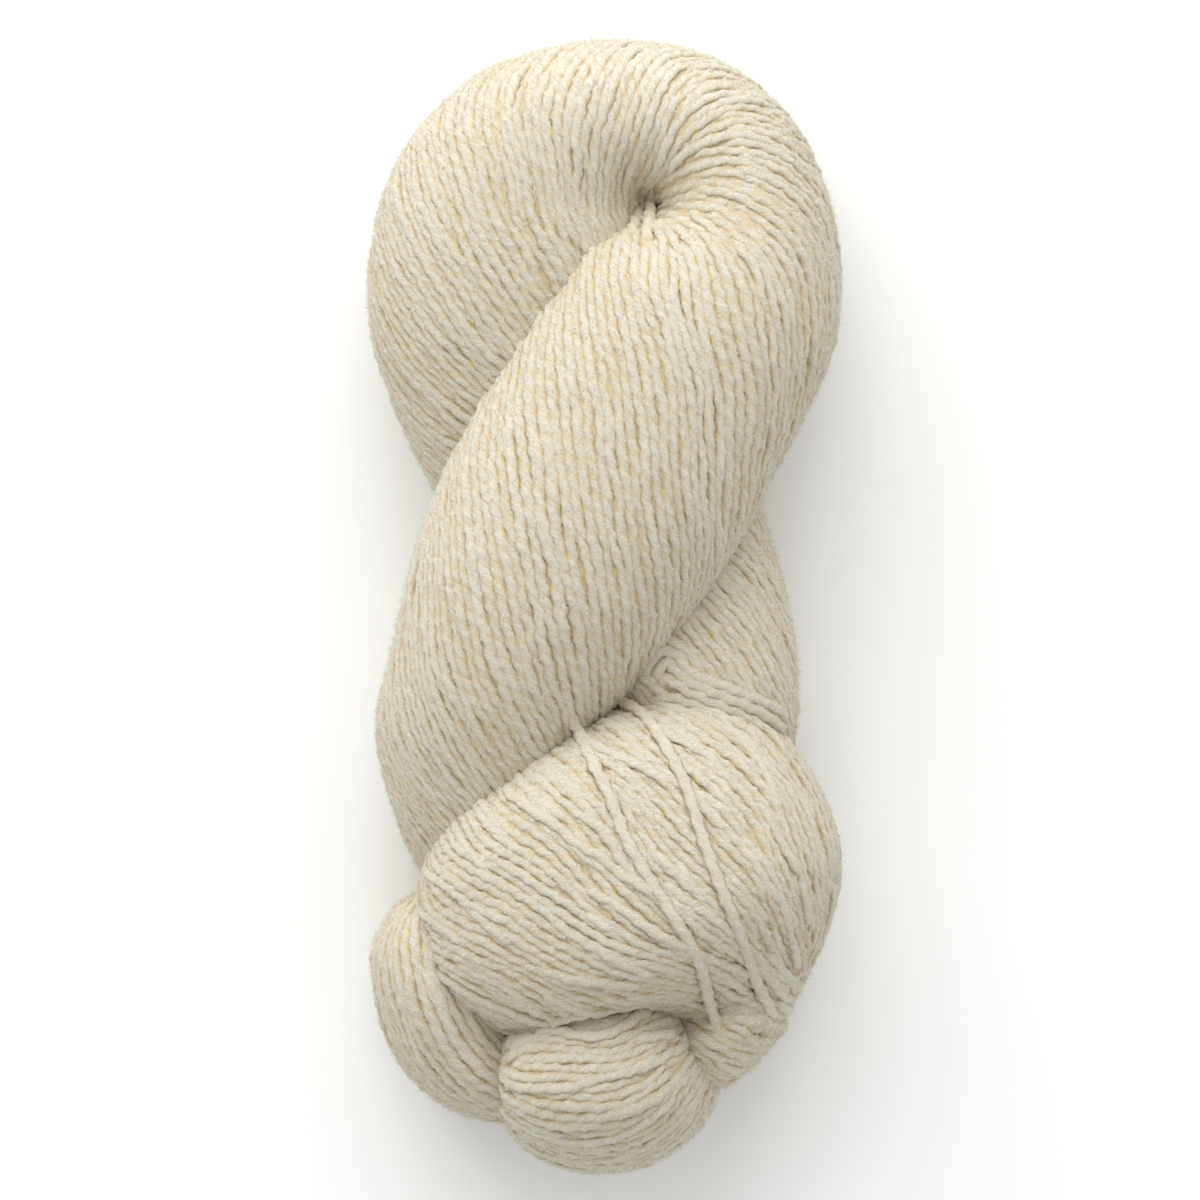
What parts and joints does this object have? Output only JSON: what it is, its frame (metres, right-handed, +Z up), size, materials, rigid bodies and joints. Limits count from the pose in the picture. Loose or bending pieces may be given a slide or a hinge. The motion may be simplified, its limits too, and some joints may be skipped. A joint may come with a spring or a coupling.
{
  "type": "twisted hank of merino wool yarn",
  "caption": "Skein of undyed two-ply wool folded, twisted into a hank and tucked through its own end loop, lying flat; soft yarn for knitting, weaving or display.",
  "frame": {"origin": "middle of the hank's length and width, on the surface that it lies on", "axes": "+Y along the hank towards its closed fold, +Z up from the surface, +X to the right as seen from above"},
  "size_m": [0.104, 0.25, 0.0702],
  "materials": {
    "wool": "undyed cream wool, soft matt with a slight sheen and a faint halo of fibres"
  },
  "bodies": {
    "root": {"hank": "wool"}
  },
  "joints": []
}
